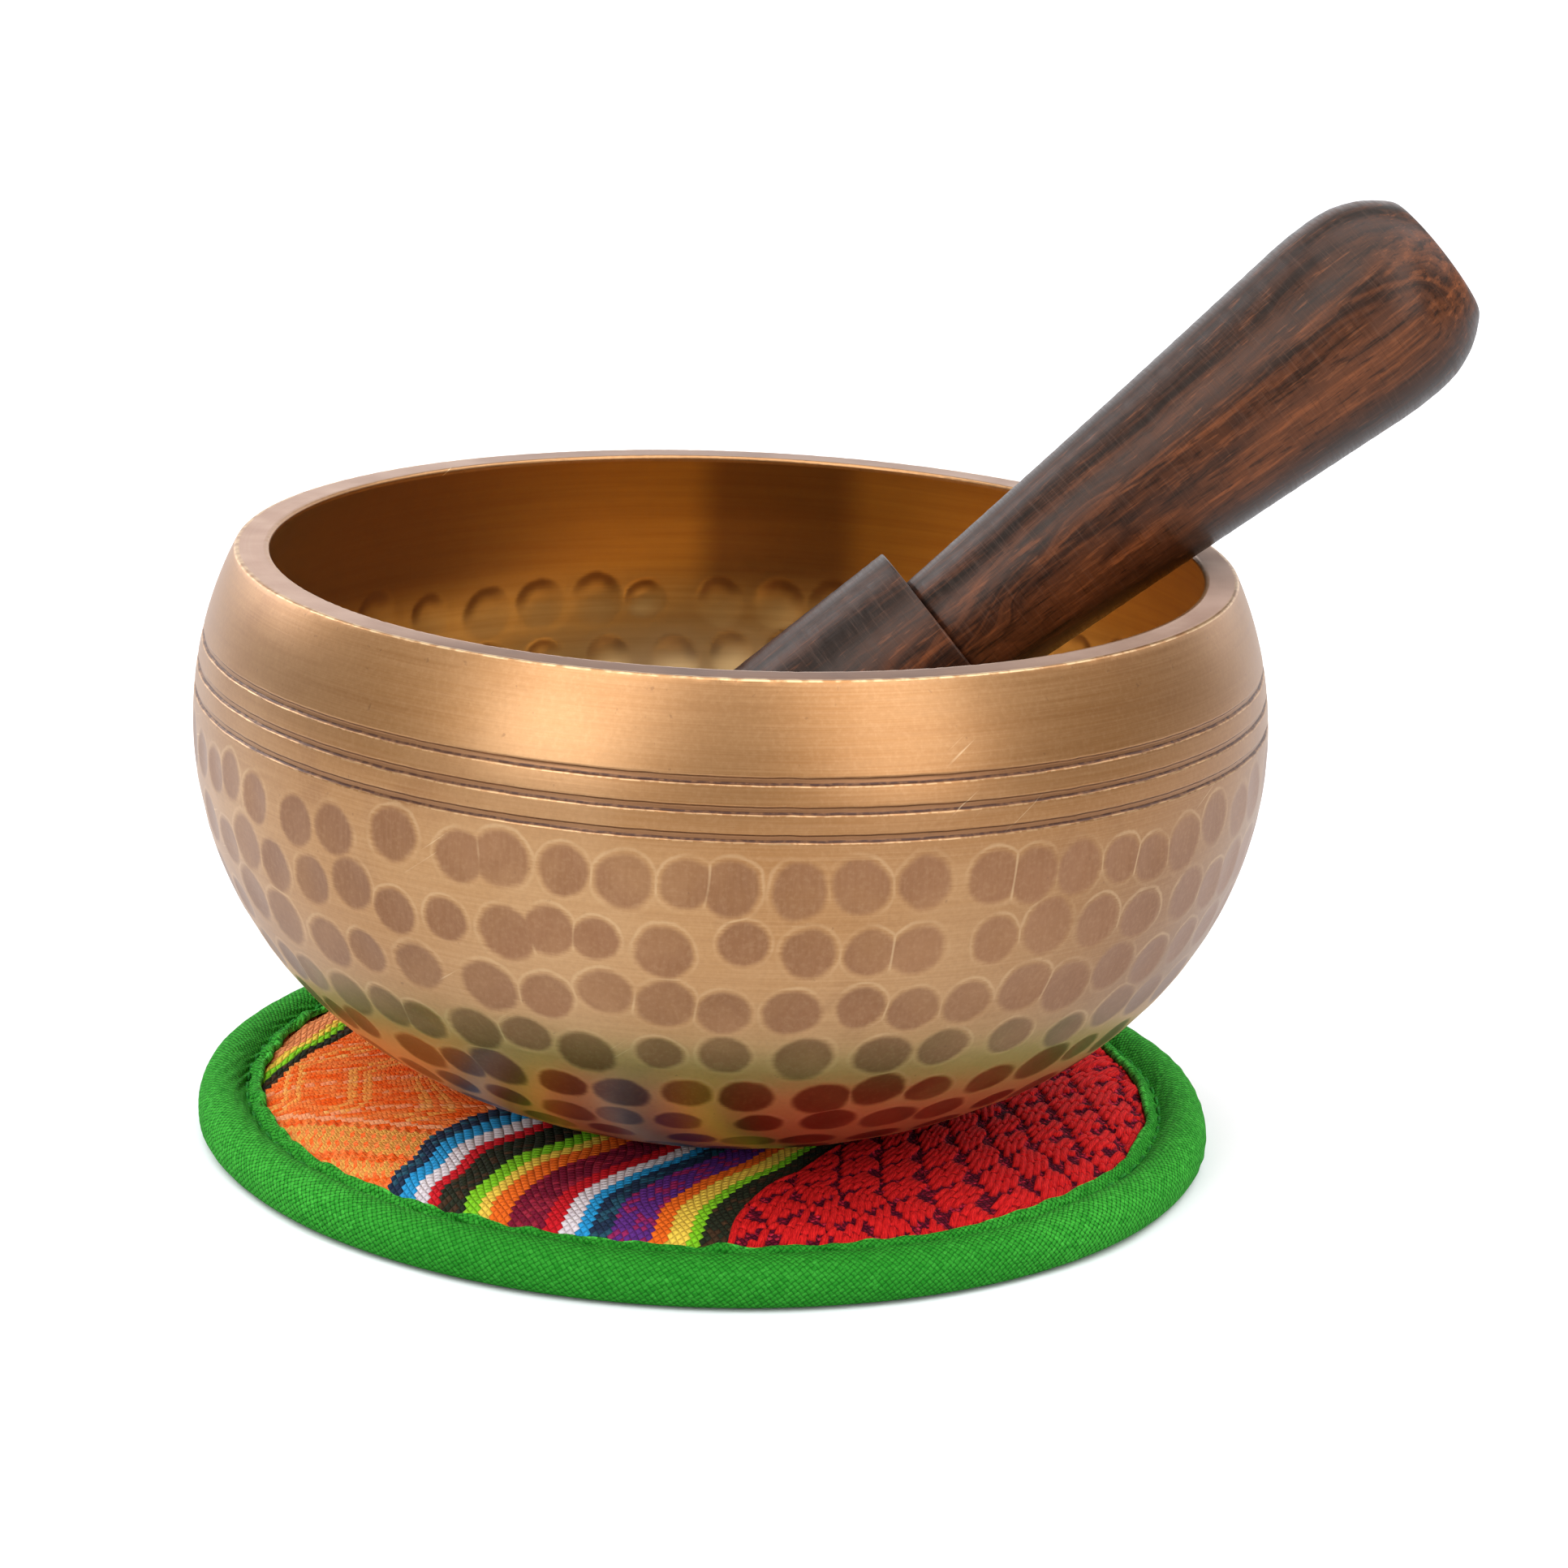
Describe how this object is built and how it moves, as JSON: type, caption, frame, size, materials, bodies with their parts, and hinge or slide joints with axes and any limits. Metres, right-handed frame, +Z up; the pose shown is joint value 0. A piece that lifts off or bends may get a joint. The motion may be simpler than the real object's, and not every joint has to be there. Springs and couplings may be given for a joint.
{
  "type": "singing bowl with mallet and mat",
  "caption": "Hammered bronze singing bowl with turned grooves, resting on a padded round cloth mat, with a turned hardwood mallet leaning inside it.",
  "frame": {"origin": "middle of the mat's underside, at the table surface; the bowl's axis stands 1.4 mm to the right of it", "axes": "+Z up, parallel to the bowl's axis; +X to the right, towards the side that the mallet's handle leans to; -Y to the front"},
  "size_m": [0.1321, 0.1118, 0.1002],
  "materials": {
    "bronze": "brushed and hammered, satin",
    "rosewood": "turned and oiled",
    "striped_brocade": "woven, striped",
    "felt": "felted",
    "lining": "plain weave",
    "green_cotton": "plain weave",
    "green_thread": "spun cotton thread"
  },
  "bodies": {
    "mat": {"mat_top_cloth": "striped_brocade", "mat_core": "felt", "mat_backing_cloth": "lining", "edge_binding": "green_cotton", "edge_stitching": "green_thread"},
    "bowl": {"bowl": "bronze"},
    "mallet": {"mallet_head": "rosewood", "mallet_handle": "rosewood"}
  },
  "joints": [
    {"name": "bowl_lift", "type": "slide", "parent": "mat", "child": "bowl", "axis": [0, 0, 1], "range_m": [0, 0.06]},
    {"name": "mallet_lift", "type": "slide", "parent": "bowl", "child": "mallet", "axis": [0, 0, 1], "range_m": [0, 0.075]}
  ]
}
